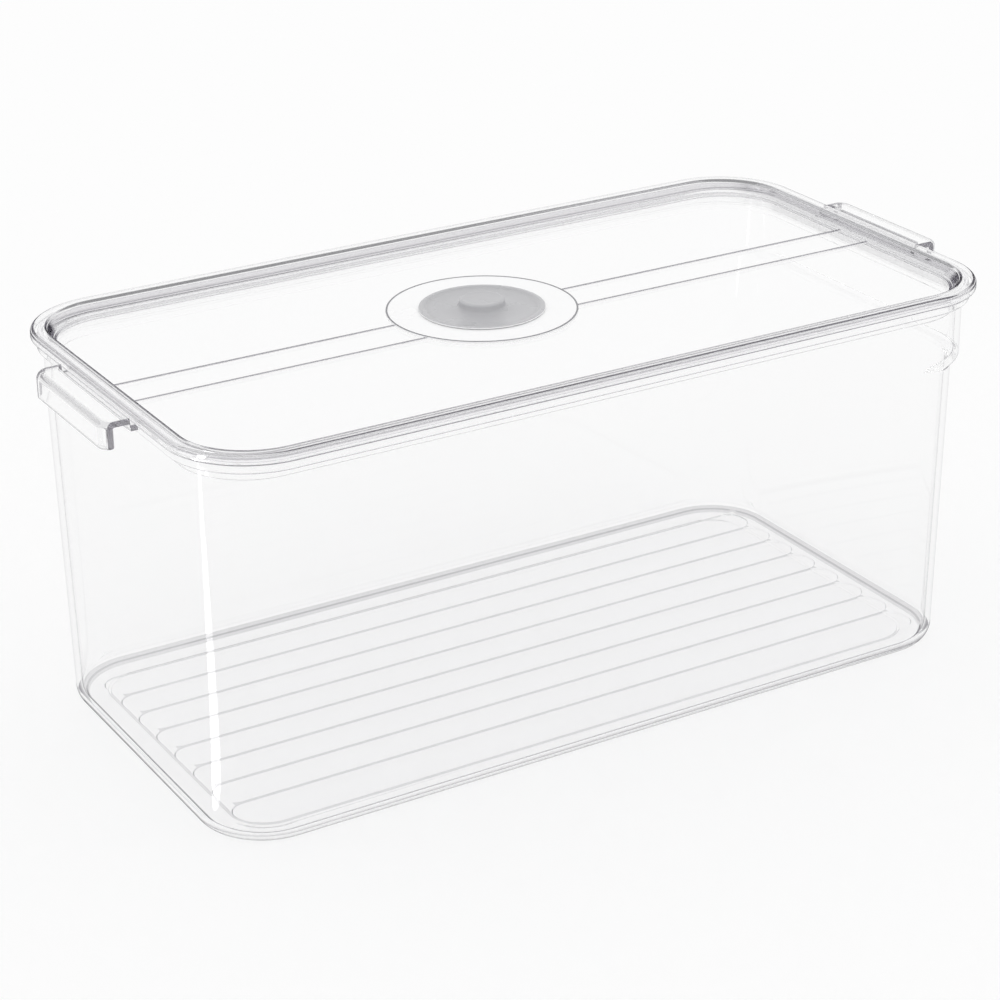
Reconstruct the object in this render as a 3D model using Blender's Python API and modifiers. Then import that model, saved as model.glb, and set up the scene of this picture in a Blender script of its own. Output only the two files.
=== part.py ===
"""Clear kitchen storage bin with a lift-off lid and a pull-up air vent.

Metres, +Z up, +X along the bin's length. The origin lies on the floor under the middle of the bin.
Run it with blender --background --python part.py, or from the text editor.

The thin walls are lofts: a closed line of stations, each a rounded rectangle (half length, half width,
corner radius, height, middle), goes up the outer face, over the rim and down the inner face. The vent's
pieces are turned profiles. Everything that seats on or in another piece takes its place from that piece.
"""

import math

import bmesh
import bpy

# Gaps and overruns
seat_gap = 0.0003          # gap between two pieces that touch
cut_overrun = 0.0006       # how far a cutter passes the face that it opens
weld_distance = 0.00001    # points of a turned profile closer than this become one

# Tub: walls
wall = 0.0025
foot_height = 0.0072       # height of the rounded edge between base and wall
base_half_x = 0.1796       # outer wall just above that edge, at the left end
base_half_y = 0.0878
base_corner = 0.0300
end_draft = 0.0018         # how far an end wall leans out, up to its shoulder
side_draft = 0.0032        # the same for a long wall, up to the rim
corner_draft = 0.0025
shoulder_depth = 0.0322    # the right end wall steps outward this far under the top of the rim
shoulder_rise = 0.0020
shoulder_reach = 0.0044    # below that step it stands this far in

# Tub: base
floor_top = 0.0036
foot_width = 0.0060        # flat ring that the bin stands on
foot_recess = 0.0008       # how far the middle of the base is held off the table
foot_recess_slope = 0.0012

# Tub: rim
rim_top = 0.1636
rim_height = 0.0040
rim_end_reach = 0.0016     # how far the rim stands out past the end wall
rim_side_reach = 0.0040    # and past the long wall
rim_corner_growth = 0.0020
rim_edge_round = 0.0007

# Tub: fluted floor
flute_count = 8
flute_depth = 0.0005
flute_ridge = 0.0005       # width of the ridge between two flutes, at its top
flute_draft = 0.0003       # how far a flute's side leans in
flute_corner = 0.0078      # rounds each flute's ends
flute_end_margin = 0.0017  # from the flat floor's right end to the end of a flute
flute_side_margin = 0.00884    # from the flat floor's side to the outermost flute

# Tub: handles
handle_clearance = 0.0008  # from the lid's edge to where the grip starts to rise
handle_step_run = 0.0030   # length of that rise
handle_reach = 0.0092      # from the rise to the outer face
handle_half_width = 0.0330
handle_thick = 0.0025
handle_lift = 0.0028       # how far the grip stands above the rim
handle_drop = 0.0110       # height of the down-turned lip
handle_bend = 0.0030       # outer radius of the bend
handle_plan_round = 0.0040
handle_root_sink = 0.00015

# Lid: shell
lid_end_overhang = 0.0020  # how far the lid's edge stands out past the rim at the ends
lid_side_overhang = 0.0026 # and along the sides
lid_corner_growth = 0.0015
lid_rise = 0.0044          # height of the lid's edge above the rim
lid_skin = 0.0018
lid_edge_round = 0.0021
lid_inner_round = 0.0012
bead_width = 0.0066        # width of the raised edge seen from above
panel_depth = 0.0056       # how far the panel lies under the top of the edge
plug_clearance = 0.0006    # between the lid's plug and the tub's inner wall
plug_depth = 0.0096        # how far the plug reaches under the tub's rim
plug_taper = 0.0005

# Lid: band and vent boss
band_half_width = 0.0104
band_height = 0.0005
vent_middle_x = -0.0100    # the vent stands a little to the left of the middle, and behind it
vent_middle_y = 0.0075
boss_width = 0.0166        # width of the ring round the well
boss_height = 0.0007
boss_edge_round = 0.0003
well_radius = 0.0234
well_wall = 0.0020
well_floor_thick = 0.0020
well_depth = 0.0046        # from the top of the boss to the floor of the well
vent_hole_count = 6
vent_hole_radius = 0.0024
vent_hole_distance = 0.0100    # from the stem's face to the middle of a hole

# Gasket between lid and tub
gasket_side_gap = 0.0008

# Vent cap
cap_lap = 0.0030           # how far the lip lies over the edge of the well
cap_lip_height = 0.0007
cap_thick = 0.0016
cap_dish_depth = 0.0010
cap_dish_width = 0.0090    # from the lip's edge in to the lowest ring of the dish
knob_radius = 0.0094
knob_height = 0.0034       # above the lip
knob_dimple = 0.0003
knob_edge_round = 0.0008
knob_flare = 0.0030
stem_radius = 0.0030
stem_clearance = 0.0004
barb_reach = 0.0011
barb_height = 0.0032
vent_travel = 0.0045

# Vent seal
seal_collar_height = 0.0016
seal_pad_thick = 0.0015
seal_wall = 0.0015
seal_side_clearance = 0.0006
skirt_thick = 0.0018

# How finely round shapes are divided
corner_steps = 8
edge_steps = 3
base_edge_steps = 4
shoulder_steps = 4
turn_steps = 48
hole_sides = 12

# Outlines that follow from the sizes above
side_half_x = base_half_x + end_draft
side_half_y = base_half_y + side_draft
side_corner = base_corner + corner_draft
rim_half_x = side_half_x + rim_end_reach
rim_half_y = side_half_y + rim_side_reach
rim_corner = side_corner + rim_corner_growth
lid_half_x = rim_half_x + lid_end_overhang
lid_half_y = rim_half_y + lid_side_overhang
lid_corner = rim_corner + lid_corner_growth
handle_step_in = lid_half_x + handle_clearance
handle_step_out = handle_step_in + handle_step_run
handle_out = handle_step_out + handle_reach
low_middle = -shoulder_reach / 2           # the middle of the bin's length, under the step
flute_half_x = base_half_x - shoulder_reach - foot_height - flute_end_margin
flute_pitch = 2 * (base_half_y - foot_height - flute_side_margin) / flute_count
boss_radius = well_radius + boss_width
vent_hole_circle = stem_radius + vent_hole_distance
cap_radius = well_radius + cap_lap
cap_dish_radius = cap_radius - cap_dish_width

# Heights that follow from the sizes above
rim_bottom = rim_top - rim_height
shoulder_bottom = rim_top - shoulder_depth
lid_top = rim_top + lid_rise
panel_top = lid_top - panel_depth
panel_bottom = panel_top - lid_skin
lid_edge_bottom = rim_top + seat_gap
band_top = panel_top + band_height
boss_top = panel_top + boss_height
well_floor_top = boss_top - well_depth
well_floor_bottom = well_floor_top - well_floor_thick


def clear_scene():
    for obj in list(bpy.data.objects):
        bpy.data.objects.remove(obj, do_unlink=True)


def make_collection(name):
    group = bpy.data.collections.new(name)
    bpy.context.scene.collection.children.link(group)
    return group


def make_material(name, color, alpha, roughness, transmission=0.0):
    """A plain surface; clear plastic has a low alpha and lets light through."""
    material = bpy.data.materials.new(name)
    material.use_nodes = True
    shader = material.node_tree.nodes["Principled BSDF"]
    shader.inputs["Base Color"].default_value = (*color, 1.0)
    shader.inputs["Alpha"].default_value = alpha
    shader.inputs["Roughness"].default_value = roughness
    shader.inputs["Metallic"].default_value = 0.0
    shader.inputs["Transmission Weight"].default_value = transmission
    return material


def add_object(name, bm, group, material=None):
    """Turn a bmesh into a named object with its faces looking outward."""
    bmesh.ops.recalc_face_normals(bm, faces=bm.faces)
    mesh = bpy.data.meshes.new(name)
    bm.to_mesh(mesh)
    bm.free()
    obj = bpy.data.objects.new(name, mesh)
    group.objects.link(obj)
    if material is not None:
        mesh.materials.append(material)
    return obj


def add_helper(name, bm):
    """An object that is only cut from, or joined to, a real piece."""
    obj = add_object(name, bm, helpers)
    obj.hide_render = True
    obj.display_type = "WIRE"
    return obj


def combine(obj, helper, operation):
    modifier = obj.modifiers.new(operation.lower() + "_" + helper.name, "BOOLEAN")
    modifier.operation = operation
    modifier.solver = "EXACT"
    modifier.object = helper


def rounded_rectangle(half_x, half_y, corner, height, middle_x, middle_y=0):
    """Points of a rounded rectangle, anticlockwise seen from above."""
    points = []
    for quarter, (sign_x, sign_y) in enumerate([(1, 1), (-1, 1), (-1, -1), (1, -1)]):
        for step in range(corner_steps + 1):
            angle = math.radians(90.0) * (quarter + step / corner_steps)
            x = middle_x + sign_x * (half_x - corner) + corner * math.cos(angle)
            y = middle_y + sign_y * (half_y - corner) + corner * math.sin(angle)
            points.append((x, y, height))
    return points


def loft(stations, closed=False):
    """Skin a row of rounded rectangles; an open row gets a flat cap at each end."""
    bm = bmesh.new()
    rings = [[bm.verts.new(point) for point in rounded_rectangle(*station)] for station in stations]
    pairs = list(zip(rings, rings[1:]))
    if closed:
        pairs.append((rings[-1], rings[0]))
    else:
        bm.faces.new(rings[0])
        bm.faces.new(rings[-1])
    for low, high in pairs:
        for i in range(len(low)):
            j = (i + 1) % len(low)
            bm.faces.new((low[i], low[j], high[j], high[i]))
    return bm


def grown(station, by, height):
    """The same rounded rectangle, offset outward by a distance and put at a height."""
    half_x, half_y, corner, _, *middle = station
    return (half_x + by, half_y + by, corner + by, height, *middle)


def between(low, high, share):
    """A station between two others."""
    return tuple(a + (b - a) * share for a, b in zip(low, high))


def quarter_round(station, radius, center_height, start, end, steps):
    """Stations round an edge: at angle 0 the edge is at full width, at 90 degrees at full height."""
    stations = []
    for step in range(steps + 1):
        angle = math.radians(start + (end - start) * step / steps)
        stations.append(grown(station, radius * (math.cos(angle) - 1), center_height + radius * math.sin(angle)))
    return stations


def turned(profile, name, group, material=None, closed=False):
    """Spin a profile of (radius, height) points, listed from top to bottom, about the vent's upright axis."""
    mesh = bpy.data.meshes.new(name)
    count = len(profile)
    edges = [(i, i + 1) for i in range(count - 1)]
    if closed:
        edges.append((count - 1, 0))
    mesh.from_pydata([(radius, 0, height) for radius, height in profile], edges, [])
    obj = bpy.data.objects.new(name, mesh)
    obj.location = (vent_middle_x, vent_middle_y, 0)
    group.objects.link(obj)
    screw = obj.modifiers.new("turn", "SCREW")
    screw.axis = "Z"
    screw.angle = math.radians(360)
    screw.steps = turn_steps
    screw.render_steps = turn_steps
    screw.use_merge_vertices = True
    screw.merge_threshold = weld_distance
    if material is not None:
        mesh.materials.append(material)
    return obj


def tub_stations():
    """Outer face from the base up, over the rim, and down the inner face to the floor."""
    base = (base_half_x + low_middle, base_half_y, base_corner, foot_height, low_middle)
    side = (side_half_x + low_middle, side_half_y, side_corner, shoulder_bottom, low_middle)
    neck = (side_half_x, side_half_y, side_corner, rim_bottom, 0)
    rim = (rim_half_x, rim_half_y, rim_corner, rim_bottom, 0)
    foot = grown(base, -foot_height, 0)

    stations = [grown(foot, -foot_width - foot_recess_slope, foot_recess), grown(foot, -foot_width, 0)]
    stations += quarter_round(base, foot_height, foot_height, -90, 0, base_edge_steps)
    stations += [side]
    for step in range(1, shoulder_steps + 1):
        share = step / shoulder_steps
        ease_share = share * share * (3 - 2 * share)
        stations.append(grown(between(side, neck, ease_share), 0, shoulder_bottom + shoulder_rise * share))
    stations += [neck, grown(rim, -rim_edge_round, rim_bottom), grown(rim, 0, rim_bottom + rim_edge_round)]
    stations += quarter_round(rim, rim_edge_round, rim_top - rim_edge_round, 0, 90, edge_steps)

    mouth = grown(neck, -wall, rim_top)
    stations += [grown(mouth, rim_edge_round, rim_top), grown(mouth, 0, rim_top - rim_edge_round)]
    for step in range(shoulder_steps, -1, -1):
        share = step / shoulder_steps
        ease_share = share * share * (3 - 2 * share)
        height = shoulder_bottom + shoulder_rise * share + wall / 2
        stations.append(grown(between(side, neck, ease_share), -wall, height))
    inner_round = foot_height - wall
    stations += quarter_round(grown(base, -wall, 0), inner_round, floor_top + inner_round, 0, -90, base_edge_steps)
    return stations


def handle_section(shift):
    """Outline of one handle across its width, from the rim outward; the shift pulls its outer part in."""
    root = rim_half_x - rim_height
    top = rim_top - handle_root_sink
    grip = rim_top + handle_lift
    out = handle_out - shift
    inner_bend = handle_bend - handle_thick
    upper = [(root, top), (handle_step_in, top)]
    for share in (0.25, 0.5, 0.75, 1.0):
        ease_share = share * share * (3 - 2 * share)
        x = handle_step_in + (handle_step_out - handle_step_in) * share
        upper.append((x, top + (grip - top) * ease_share))
    lower = [(x, z - handle_thick) for x, z in upper]
    for step in range(edge_steps + 1):
        angle = math.radians(90 - 90 * step / edge_steps)
        center = (out - handle_bend, grip - handle_bend)
        upper.append((center[0] + handle_bend * math.cos(angle), center[1] + handle_bend * math.sin(angle)))
        lower.append((center[0] + inner_bend * math.cos(angle), center[1] + inner_bend * math.sin(angle)))
    upper.append((out, grip - handle_drop))
    lower.append((out - handle_thick, grip - handle_drop))
    return upper + lower[::-1]


def handle_mesh(side):
    """The handle's section lofted across the end of the bin, with its outer corners rounded in plan."""
    bm = bmesh.new()
    stations = []
    for angle in (66, 44, 22, 0):
        reach = math.sin(math.radians(angle)) / math.sin(math.radians(66))
        shift = handle_plan_round * (1 - math.cos(math.radians(angle)))
        stations.append((handle_half_width - handle_plan_round * (1 - reach), shift))
    stations += [(-y, shift) for y, shift in stations[::-1]]
    rings = [[bm.verts.new((side * x, y, z)) for x, z in handle_section(shift)] for y, shift in stations]
    bm.faces.new(rings[0])
    bm.faces.new(rings[-1])
    for left, right in zip(rings, rings[1:]):
        for i in range(len(left)):
            j = (i + 1) % len(left)
            bm.faces.new((left[i], left[j], right[j], right[i]))
    return bm


def flute_mesh(index):
    """One of the floor's flutes: a shallow recess with round ends and leaning sides."""
    middle_y = (index - (flute_count - 1) / 2) * flute_pitch
    lean_per_rise = flute_draft / flute_depth
    top = (flute_half_x, (flute_pitch - flute_ridge) / 2, flute_corner, floor_top, 0, middle_y)
    above = grown(top, cut_overrun * lean_per_rise, floor_top + cut_overrun)
    return loft([grown(top, -flute_draft, floor_top - flute_depth), above])


def build_tub():
    tub = add_object("bin_tub", loft(tub_stations()), pieces, clear)
    for label, side in (("right", 1), ("left", -1)):
        combine(tub, add_helper("handle_" + label, handle_mesh(side)), "UNION")
    for index in range(flute_count):
        combine(tub, add_helper("flute_" + str(index + 1), flute_mesh(index)), "DIFFERENCE")
    return tub


def lid_stations():
    """Underside of the panel, round the plug, the gasket's channel and the raised edge, to the panel's top."""
    outer = (lid_half_x, lid_half_y, lid_corner, lid_edge_bottom, 0)
    mouth = (side_half_x - wall, side_half_y - wall, side_corner - wall, rim_top, 0)
    plug = grown(mouth, -plug_clearance, rim_top)
    plug_inner = grown(plug, -lid_skin, panel_bottom)
    plug_bottom = rim_top - plug_depth
    bead_inner = grown(outer, -bead_width, lid_top)
    channel = grown(outer, -lid_skin, lid_top - lid_skin)
    channel_inner = grown(bead_inner, lid_skin / 2, lid_top - lid_skin)

    stations = [plug_inner]
    stations += [grown(plug_inner, -plug_taper, plug_bottom), grown(plug, -plug_taper, plug_bottom)]
    stations += [grown(plug, 0, lid_edge_bottom), channel_inner, channel]
    stations += [grown(channel, 0, lid_edge_bottom), grown(outer, 0, lid_edge_bottom)]
    stations += quarter_round(outer, lid_edge_round, lid_top - lid_edge_round, 0, 90, edge_steps)
    stations += [grown(bead_inner, lid_inner_round, lid_top), grown(bead_inner, 0, lid_top - lid_inner_round)]
    foot = grown(plug_inner, 0, panel_top)
    stations += [between(grown(foot, 0, panel_top + lid_inner_round), bead_inner, 0.12)]
    stations += [grown(foot, -lid_inner_round, panel_top)]
    return stations


def band_mesh():
    """The flat raised strip that runs along the middle of the panel, into the raised edge at both ends."""
    end = side_half_x - wall - plug_clearance - lid_skin / 2
    bm = bmesh.new()
    bmesh.ops.create_cube(bm, size=1.0)
    height = band_top - panel_bottom - lid_skin / 2
    bmesh.ops.scale(bm, vec=(2 * end, 2 * band_half_width, height), verts=bm.verts)
    bmesh.ops.translate(bm, vec=(0, 0, band_top - height / 2), verts=bm.verts)
    return bm


def cylinder_mesh(radius, bottom, top, sides, places=((0, 0),)):
    """Upright cylinders, at places measured from the middle of the vent."""
    bm = bmesh.new()
    for x, y in places:
        made = bmesh.ops.create_cone(bm, cap_ends=True, segments=sides, radius1=radius, radius2=radius,
                                     depth=top - bottom)
        place = (vent_middle_x + x, vent_middle_y + y, (top + bottom) / 2)
        bmesh.ops.translate(bm, vec=place, verts=made["verts"])
    return bm


def boss_profile():
    """Platform round the vent and the cup under it, as one closed outline."""
    cup = well_radius + well_wall
    inside_panel = panel_bottom + lid_skin / 2
    return [
        (well_radius, boss_top),
        (boss_radius - boss_edge_round, boss_top),
        (boss_radius, boss_top - boss_edge_round),
        (boss_radius, inside_panel),
        (cup, inside_panel),
        (cup, well_floor_bottom + boss_edge_round),
        (cup - boss_edge_round, well_floor_bottom),
        (stem_radius + stem_clearance, well_floor_bottom),
        (stem_radius + stem_clearance, well_floor_top),
        (well_radius, well_floor_top),
    ]


def build_lid():
    lid = add_object("lid", loft(lid_stations()), pieces, clear)
    combine(lid, add_helper("lid_band", band_mesh()), "UNION")
    opening = cylinder_mesh(well_radius + well_wall / 2, well_floor_bottom, lid_top, turn_steps)
    combine(lid, add_helper("well_opening", opening), "DIFFERENCE")
    boss = turned(boss_profile(), "vent_boss", helpers, closed=True)
    boss.hide_render = True
    boss.display_type = "WIRE"
    combine(lid, boss, "UNION")
    places = []
    for index in range(vent_hole_count):
        angle = math.radians(360) * index / vent_hole_count
        places.append((vent_hole_circle * math.cos(angle), vent_hole_circle * math.sin(angle)))
    holes = cylinder_mesh(vent_hole_radius, well_floor_bottom - cut_overrun, well_floor_top + cut_overrun,
                          hole_sides, places)
    combine(lid, add_helper("vent_holes", holes), "DIFFERENCE")
    return lid


def build_gasket():
    """A flat band that lies on the tub's rim, inside the channel of the lid."""
    rim = (rim_half_x, rim_half_y, rim_corner, rim_top, 0)
    outer = grown(rim, -rim_edge_round, rim_top)
    bead_inner = (lid_half_x - bead_width, lid_half_y - bead_width, lid_corner - bead_width, rim_top, 0)
    inner = grown(bead_inner, gasket_side_gap + lid_skin / 2, rim_top)
    bottom = rim_top + seat_gap
    top = lid_top - lid_skin - seat_gap
    crown = (top - bottom) / 4
    stations = [grown(outer, 0, bottom), grown(outer, 0, top - crown), grown(outer, -crown, top)]
    stations += [grown(inner, crown, top), grown(inner, 0, top - crown), grown(inner, 0, bottom)]
    return add_object("lid_gasket", loft(stations, closed=True), pieces, grey_rubber)


def cap_heights():
    lip_bottom = boss_top + seat_gap
    lip_top = lip_bottom + cap_lip_height
    return lip_bottom, lip_top, lip_top + knob_height


def skirt_sizes():
    """Outer and inner radius of the cap's skirt, and the height of its lower edge."""
    outer = well_radius - seal_side_clearance - seal_wall - seat_gap
    bottom = well_floor_top + seat_gap + seal_pad_thick + seat_gap
    return outer, outer - skirt_thick, bottom


def build_cap():
    """Soft dish with a knob in the middle, a skirt for the seal, and a barbed stem."""
    lip_bottom, lip_top, knob_top = cap_heights()
    skirt_outer, skirt_inner, skirt_bottom = skirt_sizes()
    dish = lip_top - cap_dish_depth
    under_dish = dish - cap_thick
    barb_top = well_floor_bottom - vent_travel - seat_gap
    knob_foot = knob_radius + knob_flare
    profile = [
        (0, knob_top - knob_dimple),
        (knob_radius * 0.7, knob_top - knob_dimple / 2),
        (knob_radius - knob_edge_round, knob_top),
        (knob_radius, knob_top - knob_edge_round),
        (knob_radius + knob_flare * 0.1, knob_top - knob_height * 0.55),
        (knob_radius + knob_flare * 0.4, lip_top - cap_dish_depth * 0.1),
        (knob_foot, lip_top - cap_dish_depth * 0.6),
        (cap_dish_radius, dish),
        (cap_radius - cap_thick * 2, lip_top - cap_dish_depth * 0.35),
        (cap_radius - cap_thick, lip_top),
        (cap_radius - cap_lip_height / 2, lip_top),
        (cap_radius, lip_bottom + cap_lip_height / 2),
        (cap_radius, lip_bottom),
        (well_radius - seal_side_clearance, lip_bottom),
        (skirt_outer, under_dish + cap_thick / 2),
        (skirt_outer, skirt_bottom),
        (skirt_inner, skirt_bottom),
        (skirt_inner, under_dish),
        (knob_foot, under_dish + cap_dish_depth / 2),
        (stem_radius, under_dish + cap_dish_depth / 2),
        (stem_radius, barb_top),
        (stem_radius + barb_reach, barb_top - barb_reach * 0.2),
        (stem_radius + barb_reach, barb_top - barb_reach),
        (stem_radius * 0.7, barb_top - barb_height),
        (0, barb_top - barb_height),
    ]
    return turned(profile, "vent_cap", pieces, grey_cap)


def build_vent_seal():
    """Ring of L section that hugs the cap's skirt and closes on the floor of the well."""
    skirt_outer, skirt_inner, skirt_bottom = skirt_sizes()
    outer = skirt_outer + seat_gap + seal_wall
    bottom = well_floor_top + seat_gap
    pad_top = bottom + seal_pad_thick
    collar_top = pad_top + seal_collar_height
    profile = [
        (skirt_outer + seat_gap, collar_top),
        (outer, collar_top),
        (outer, bottom + seal_pad_thick / 3),
        (outer - seal_pad_thick / 3, bottom),
        (skirt_inner, bottom),
        (skirt_inner, pad_top),
        (skirt_outer + seat_gap, pad_top),
    ]
    return turned(profile, "vent_seal", pieces, grey_rubber, closed=True)


clear_scene()
pieces = make_collection("pieces")
helpers = make_collection("cutters")
clear = make_material("clear_plastic", (0.93, 0.94, 0.96), 0.30, 0.04, 0.9)
grey_rubber = make_material("grey_silicone", (0.55, 0.56, 0.58), 1.0, 0.45)
grey_cap = make_material("grey_cap", (0.50, 0.51, 0.53), 1.0, 0.35)
build_tub()
build_lid()
build_gasket()
build_cap()
build_vent_seal()
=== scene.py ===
"""Looks for the clear storage bin: smooth moulded shells, a grey vent, and a white studio round them.

Lengths are in metres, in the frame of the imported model: +X along the bin, +Z up, origin on the floor.
Heights and outer faces come from the model's own boxes; the wall and edge sizes below are its other sizes.
"""

import math

import bmesh
import bpy
import numpy as np
from mathutils import Matrix, Vector


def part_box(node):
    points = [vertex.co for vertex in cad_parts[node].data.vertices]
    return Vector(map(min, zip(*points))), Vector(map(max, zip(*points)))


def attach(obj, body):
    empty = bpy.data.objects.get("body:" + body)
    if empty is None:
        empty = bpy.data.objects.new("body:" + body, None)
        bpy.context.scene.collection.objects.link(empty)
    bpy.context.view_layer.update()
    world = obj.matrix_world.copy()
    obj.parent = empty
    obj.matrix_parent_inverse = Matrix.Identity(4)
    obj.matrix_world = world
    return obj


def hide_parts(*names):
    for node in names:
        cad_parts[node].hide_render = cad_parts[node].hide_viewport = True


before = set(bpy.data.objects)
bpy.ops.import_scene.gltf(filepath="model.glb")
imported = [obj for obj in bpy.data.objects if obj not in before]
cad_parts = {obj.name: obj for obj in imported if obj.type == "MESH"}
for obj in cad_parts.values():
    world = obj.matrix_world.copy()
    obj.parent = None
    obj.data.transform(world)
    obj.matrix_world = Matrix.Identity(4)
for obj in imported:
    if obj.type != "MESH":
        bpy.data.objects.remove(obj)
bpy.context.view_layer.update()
tub_high, lid_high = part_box("bin_tub")[1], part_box("lid")[1]
gasket_low, gasket_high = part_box("lid_gasket")
cap_low, cap_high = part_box("vent_cap")
seal_low, seal_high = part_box("vent_seal")

# Gap between two pieces that touch
seat_gap = 0.0003

# Tub
wall = 0.0025
foot_height = 0.0072
foot_width = 0.0060
foot_recess, foot_recess_slope, foot_round = 0.0008, 0.0012, 0.0005
base_half_x, base_half_y, base_corner = 0.1796, 0.0878, 0.0300
side_half_x, side_half_y, side_corner = 0.1814, 0.0910, 0.0325
shoulder_bottom = 0.1314
shoulder_reach = 0.0044
low_middle = -shoulder_reach / 2
shoulder_rise = 0.0020
floor_top = 0.0036
rim_half_x, rim_half_y, rim_corner = 0.1830, tub_high[1], 0.0345
rim_height = 0.0040
rim_edge_round, rim_top_round, under_rim_round = 0.0007, 0.0012, 0.0006
shoulder_low_round, shoulder_high_round = 0.0012, 0.0010

# Floor flutes
flute_count = 8
flute_pitch = 0.01794
flute_half_x = 0.1663
flute_depth = 0.0005
flute_ridge = 0.0005
flute_draft = 0.0003
flute_corner = 0.0078
flute_low_round, flute_flat_inset = 0.0002, 0.0010
flute_end_fade = (0.0085, 0.0060)

# Handles
handle_half_width = 0.0330
handle_thick = 0.0025
handle_lift = 0.0028
handle_step_in, handle_step_out = 0.1858, 0.1888
handle_drop = 0.0110
handle_bend = 0.0030
handle_plan_round = 0.0040
handle_root_sink = 0.00015
handle_lip_round, handle_inner_round = 0.0008, 0.0007
rim_top = tub_high[2] - handle_lift

# Lid
lid_corner = 0.0360
lid_skin = 0.0018
lid_edge_round, lid_edge_foot_round, bead_inner_round = 0.0021, 0.0006, 0.0013
channel_inner_round, channel_outer_round, channel_foot_round = 0.0005, 0.0004, 0.0003
panel_round, panel_under_round = 0.0014, 0.0008
plug_depth = 0.0096
bead_width = 0.0066
panel_depth = 0.0056
plug_clearance = 0.0006
plug_taper = 0.0005
plug_top_round, plug_foot_round = 0.0003, 0.0006
band_half_width = 0.0104
vent_middle = (-0.0100, 0.0075)
boss_radius = 0.0400
boss_height = 0.0007
well_radius = 0.0234
well_wall = 0.0020
well_depth = 0.0046
well_floor_thick = 0.0020
well_edge, well_floor_round, cup_round = 0.0003, 0.0006, 0.0008
vent_hole_count, vent_hole_radius, vent_hole_circle = 6, 0.0024, 0.0130
stem_radius, stem_clearance, stem_hole_round = 0.0030, 0.0004, 0.0003
panel_top = lid_high[2] - panel_depth
panel_bottom = panel_top - lid_skin
boss_top = panel_top + boss_height
band_rise, line_rise = 0.00015, 0.00035
band_top = panel_top + band_rise
line_top = band_top + line_rise
line_width = 0.0012
line_slope, line_corner, line_round = 0.0001, 0.0003, 0.0002
seat_line_width, seat_line_height = 0.0008, 0.0002
lid_edge_bottom = rim_top + seat_gap

# Gasket and vent seal
gasket_side_gap = 0.0008
gasket_foot_round, gasket_crown_round = 0.0003, 0.0008
seal_wall, seal_pad_thick = 0.0015, 0.0015

# Vent cap
knob_radius = 0.0094
cap_thick = 0.0016
cap_dish_depth, cap_dish_width = 0.0010, 0.0090
skirt_thick = 0.0018
barb_reach, barb_height = 0.0011, 0.0032
lip_height = 0.0007
lip_bottom = boss_top + seat_gap
lip_top = lip_bottom + lip_height

# How far a cutting tool reaches past what it cuts, and a margin for telling heights apart
overshoot = 0.001
hair = 0.00005

# Where a wide flat face starts inside its rounded edge, and the narrow ring that keeps it flat
flat_inset, flat_ring = 0.0030, 0.0006

# How finely the surfaces are divided
corner_steps = 28
round_steps = 18
turn_steps = 128
sharp_angle = math.radians(9.5)

# Painted shade on the clear plastic where it is narrow: the grey painted there, and each part's share of it
painted_edge_shade = (0.20, 0.19, 0.22)
bead_shade = 0.6
handle_shade = 0.5
floor_round_shade = 0.7
flute_ridge_shade = 0.65
base_round_shade = 0.6
far_end_loss = 0.75

# Heights and reaches that tell the parts of a moulding apart
handle_zone_bottom, base_zone_top = 0.1, 0.01
under_rim_zone, lid_reach_margin, floor_margin = 0.0060, 0.0010, 0.0005

# Tilt, the size of the upright part of a surface's normal: where it starts to lean, to be level, to be a wall
tilt_leaning = (0.15, 0.35)
tilt_level = (0.955, 0.985)
tilt_wall = (0.08, 0.25)
tilt_lid_slope = 0.66
off_lid_slope = (0.03, 0.12)
level_from = 0.5
base_round_side, base_round_flat = (-0.80, -0.60), (-0.985, -0.95)

# Painted shade: a grey outline painted on the clear plastic, as the share of light it takes, and how far the
# surface turns away for it
most_outline = 0.95
away_outside = (0.70, 1.0)
away_narrow = (0.50, 0.66)
cut_end_facing, cut_end_outline = 0.92, 0.8
raised_line_outline = 0.45
wall_outline_loss = 0.8

# Light that is mirrored or bent more often than this passes straight on, as does light held in the tub's foot
most_mirrorings = 2.5
most_turns = 9.5
held_share, held_height = 0.9, 0.014
passed_on = (0.957, 0.957, 0.960)
through_sheet, sheet_roughness = (0.9985, 0.9985, 0.9985), 0.004
depth_color, depth_density = (0.42, 0.415, 0.43), 3.5

# Studio
strip_middle = (-0.393, -0.038, 0.001)
strip_turn = math.radians(173)
strip_length, strip_width = 0.40, 0.036
strip_power = 0.15
camera_place = (-0.5496, -0.9260, 0.5556)
table_white, table_glow, world_white = 0.97, 0.5, 0.995


# Surfaces

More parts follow.
